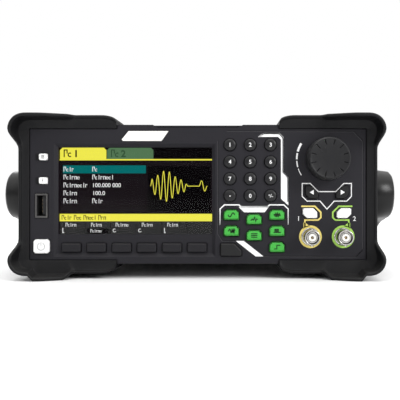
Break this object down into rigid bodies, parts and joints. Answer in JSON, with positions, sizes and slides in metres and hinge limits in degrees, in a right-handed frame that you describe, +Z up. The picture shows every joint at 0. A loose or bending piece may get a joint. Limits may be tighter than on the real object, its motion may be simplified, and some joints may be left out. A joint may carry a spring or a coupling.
{
  "type": "function generator",
  "caption": "Portable bench function generator with colour display, key groups, tuning knob, two coaxial outputs, rubber end boots and a swinging carry handle.",
  "frame": {"origin": "centre of the bounding box in X and Y, at the bottom of the four feet in Z", "axes": "+X to the viewer's right when facing the front, +Y from the front panel to the rear, +Z up"},
  "size_m": [0.264, 0.283, 0.1037],
  "materials": {
    "front_plastic": "fine moulded texture",
    "boot_rubber": "soft matte",
    "handle_plastic": "fine moulded texture",
    "cover_paint": "fine powder coat",
    "rear_paint": "fine powder coat",
    "screen_window": "polished clear plastic over a dark display",
    "bright_metal": "nickel plated",
    "circuit_board": "solder resist",
    "supply_metal": "plated sheet",
    "black_plastic": "satin",
    "dark_key": "soft matte",
    "green_key": "soft satin",
    "white_key": "satin",
    "white_print": "screen printed ink",
    "yellow_print": "screen printed ink",
    "green_print": "screen printed ink",
    "display_image": "lit display dots",
    "insulator": "smooth",
    "contact": "plated",
    "screw_steel": "plated"
  },
  "bodies": {
    "root": {"front_bezel": "front_plastic", "lcd_window": "screen_window", "lcd_module": "supply_metal", "front_bumper_left": "boot_rubber", "front_bumper_right": "boot_rubber", "rear_bumper_left": "boot_rubber", "rear_bumper_right": "boot_rubber", "top_cover": "cover_paint", "bottom_chassis": "cover_paint", "rear_panel": "rear_paint", "key_board": "circuit_board", "main_board": "circuit_board", "power_supply": "supply_metal", "fan_frame": "black_plastic", "bnc_output_1": "bright_metal", "bnc_output_2": "bright_metal", "bnc_rear": "bright_metal", "usb_host_port": "bright_metal", "usb_device_port": "bright_metal", "mains_inlet": "black_plastic", "encoder_body": "black_plastic"},
    "handle": {"handle_arm_left": "handle_plastic", "handle_arm_right": "handle_plastic", "handle_grip": "handle_plastic"},
    "knob": {"knob": "black_plastic", "encoder_shaft": "bright_metal"},
    "fan": {"fan_rotor": "black_plastic"},
    "soft_key_1": {"soft_key_1": "dark_key"},
    "soft_key_2": {"soft_key_2": "dark_key"},
    "soft_key_3": {"soft_key_3": "dark_key"},
    "soft_key_4": {"soft_key_4": "dark_key"},
    "soft_key_5": {"soft_key_5": "dark_key"},
    "soft_key_6": {"soft_key_6": "dark_key"},
    "key_0": {"key_0": "dark_key"},
    "key_1": {"key_1": "dark_key"},
    "key_2": {"key_2": "dark_key"},
    "key_3": {"key_3": "dark_key"},
    "key_4": {"key_4": "dark_key"},
    "key_5": {"key_5": "dark_key"},
    "key_6": {"key_6": "dark_key"},
    "key_7": {"key_7": "dark_key"},
    "key_8": {"key_8": "dark_key"},
    "key_9": {"key_9": "dark_key"},
    "key_point": {"key_point": "dark_key"},
    "key_sign": {"key_sign": "dark_key"},
    "shift_key": {"shift_key": "dark_key"},
    "left_arrow_key": {"left_arrow_key": "dark_key"},
    "right_arrow_key": {"right_arrow_key": "dark_key"},
    "sine_key": {"sine_key": "green_key"},
    "arb_key": {"arb_key": "green_key"},
    "mod_key": {"mod_key": "green_key"},
    "sweep_key": {"sweep_key": "green_key"},
    "utility_key": {"utility_key": "green_key"},
    "burst_key": {"burst_key": "green_key"},
    "trigger_key": {"trigger_key": "green_key"},
    "output_1_key": {"output_1_key": "white_key"},
    "output_2_key": {"output_2_key": "white_key"},
    "parameter_key": {"parameter_key": "white_key"},
    "help_key": {"help_key": "white_key"},
    "power_key": {"power_key": "white_key"}
  },
  "joints": [
    {"name": "handle_swing", "type": "hinge", "parent": "root", "child": "handle", "pos_m": [0, -0.0854, 0.0535], "axis": [-1, 0, 0], "range_deg": [0, 303]},
    {"name": "knob_turn", "type": "hinge", "parent": "root", "child": "knob", "pos_m": [0.0817, -0.1275, 0.0757], "axis": [0, -1, 0], "continuous": true},
    {"name": "fan_spin", "type": "hinge", "parent": "root", "child": "fan", "pos_m": [-0.062, 0.1225, 0.0535], "axis": [0, 1, 0], "continuous": true},
    {"name": "soft_key_1_press", "type": "slide", "parent": "root", "child": "soft_key_1", "axis": [0, 1, 0], "range_m": [0, 0.001], "stiffness_N_per_m": 400},
    {"name": "soft_key_2_press", "type": "slide", "parent": "root", "child": "soft_key_2", "axis": [0, 1, 0], "range_m": [0, 0.001], "stiffness_N_per_m": 400},
    {"name": "soft_key_3_press", "type": "slide", "parent": "root", "child": "soft_key_3", "axis": [0, 1, 0], "range_m": [0, 0.001], "stiffness_N_per_m": 400},
    {"name": "soft_key_4_press", "type": "slide", "parent": "root", "child": "soft_key_4", "axis": [0, 1, 0], "range_m": [0, 0.001], "stiffness_N_per_m": 400},
    {"name": "soft_key_5_press", "type": "slide", "parent": "root", "child": "soft_key_5", "axis": [0, 1, 0], "range_m": [0, 0.001], "stiffness_N_per_m": 400},
    {"name": "soft_key_6_press", "type": "slide", "parent": "root", "child": "soft_key_6", "axis": [0, 1, 0], "range_m": [0, 0.001], "stiffness_N_per_m": 400},
    {"name": "key_0_press", "type": "slide", "parent": "root", "child": "key_0", "axis": [0, 1, 0], "range_m": [0, 0.001], "stiffness_N_per_m": 400},
    {"name": "key_1_press", "type": "slide", "parent": "root", "child": "key_1", "axis": [0, 1, 0], "range_m": [0, 0.001], "stiffness_N_per_m": 400},
    {"name": "key_2_press", "type": "slide", "parent": "root", "child": "key_2", "axis": [0, 1, 0], "range_m": [0, 0.001], "stiffness_N_per_m": 400},
    {"name": "key_3_press", "type": "slide", "parent": "root", "child": "key_3", "axis": [0, 1, 0], "range_m": [0, 0.001], "stiffness_N_per_m": 400},
    {"name": "key_4_press", "type": "slide", "parent": "root", "child": "key_4", "axis": [0, 1, 0], "range_m": [0, 0.001], "stiffness_N_per_m": 400},
    {"name": "key_5_press", "type": "slide", "parent": "root", "child": "key_5", "axis": [0, 1, 0], "range_m": [0, 0.001], "stiffness_N_per_m": 400},
    {"name": "key_6_press", "type": "slide", "parent": "root", "child": "key_6", "axis": [0, 1, 0], "range_m": [0, 0.001], "stiffness_N_per_m": 400},
    {"name": "key_7_press", "type": "slide", "parent": "root", "child": "key_7", "axis": [0, 1, 0], "range_m": [0, 0.001], "stiffness_N_per_m": 400},
    {"name": "key_8_press", "type": "slide", "parent": "root", "child": "key_8", "axis": [0, 1, 0], "range_m": [0, 0.001], "stiffness_N_per_m": 400},
    {"name": "key_9_press", "type": "slide", "parent": "root", "child": "key_9", "axis": [0, 1, 0], "range_m": [0, 0.001], "stiffness_N_per_m": 400},
    {"name": "key_point_press", "type": "slide", "parent": "root", "child": "key_point", "axis": [0, 1, 0], "range_m": [0, 0.001], "stiffness_N_per_m": 400},
    {"name": "key_sign_press", "type": "slide", "parent": "root", "child": "key_sign", "axis": [0, 1, 0], "range_m": [0, 0.001], "stiffness_N_per_m": 400},
    {"name": "shift_key_press", "type": "slide", "parent": "root", "child": "shift_key", "axis": [0, 1, 0], "range_m": [0, 0.001], "stiffness_N_per_m": 400},
    {"name": "left_arrow_key_press", "type": "slide", "parent": "root", "child": "left_arrow_key", "axis": [0, 1, 0], "range_m": [0, 0.001], "stiffness_N_per_m": 400},
    {"name": "right_arrow_key_press", "type": "slide", "parent": "root", "child": "right_arrow_key", "axis": [0, 1, 0], "range_m": [0, 0.001], "stiffness_N_per_m": 400},
    {"name": "sine_key_press", "type": "slide", "parent": "root", "child": "sine_key", "axis": [0, 1, 0], "range_m": [0, 0.001], "stiffness_N_per_m": 400},
    {"name": "arb_key_press", "type": "slide", "parent": "root", "child": "arb_key", "axis": [0, 1, 0], "range_m": [0, 0.001], "stiffness_N_per_m": 400},
    {"name": "mod_key_press", "type": "slide", "parent": "root", "child": "mod_key", "axis": [0, 1, 0], "range_m": [0, 0.001], "stiffness_N_per_m": 400},
    {"name": "sweep_key_press", "type": "slide", "parent": "root", "child": "sweep_key", "axis": [0, 1, 0], "range_m": [0, 0.001], "stiffness_N_per_m": 400},
    {"name": "utility_key_press", "type": "slide", "parent": "root", "child": "utility_key", "axis": [0, 1, 0], "range_m": [0, 0.001], "stiffness_N_per_m": 400},
    {"name": "burst_key_press", "type": "slide", "parent": "root", "child": "burst_key", "axis": [0, 1, 0], "range_m": [0, 0.001], "stiffness_N_per_m": 400},
    {"name": "trigger_key_press", "type": "slide", "parent": "root", "child": "trigger_key", "axis": [0, 1, 0], "range_m": [0, 0.001], "stiffness_N_per_m": 400},
    {"name": "output_1_key_press", "type": "slide", "parent": "root", "child": "output_1_key", "axis": [0, 1, 0], "range_m": [0, 0.001], "stiffness_N_per_m": 400},
    {"name": "output_2_key_press", "type": "slide", "parent": "root", "child": "output_2_key", "axis": [0, 1, 0], "range_m": [0, 0.001], "stiffness_N_per_m": 400},
    {"name": "parameter_key_press", "type": "slide", "parent": "root", "child": "parameter_key", "axis": [0, 1, 0], "range_m": [0, 0.001], "stiffness_N_per_m": 400},
    {"name": "help_key_press", "type": "slide", "parent": "root", "child": "help_key", "axis": [0, 1, 0], "range_m": [0, 0.001], "stiffness_N_per_m": 400},
    {"name": "power_key_press", "type": "slide", "parent": "root", "child": "power_key", "axis": [0, 1, 0], "range_m": [0, 0.0014], "stiffness_N_per_m": 400}
  ]
}
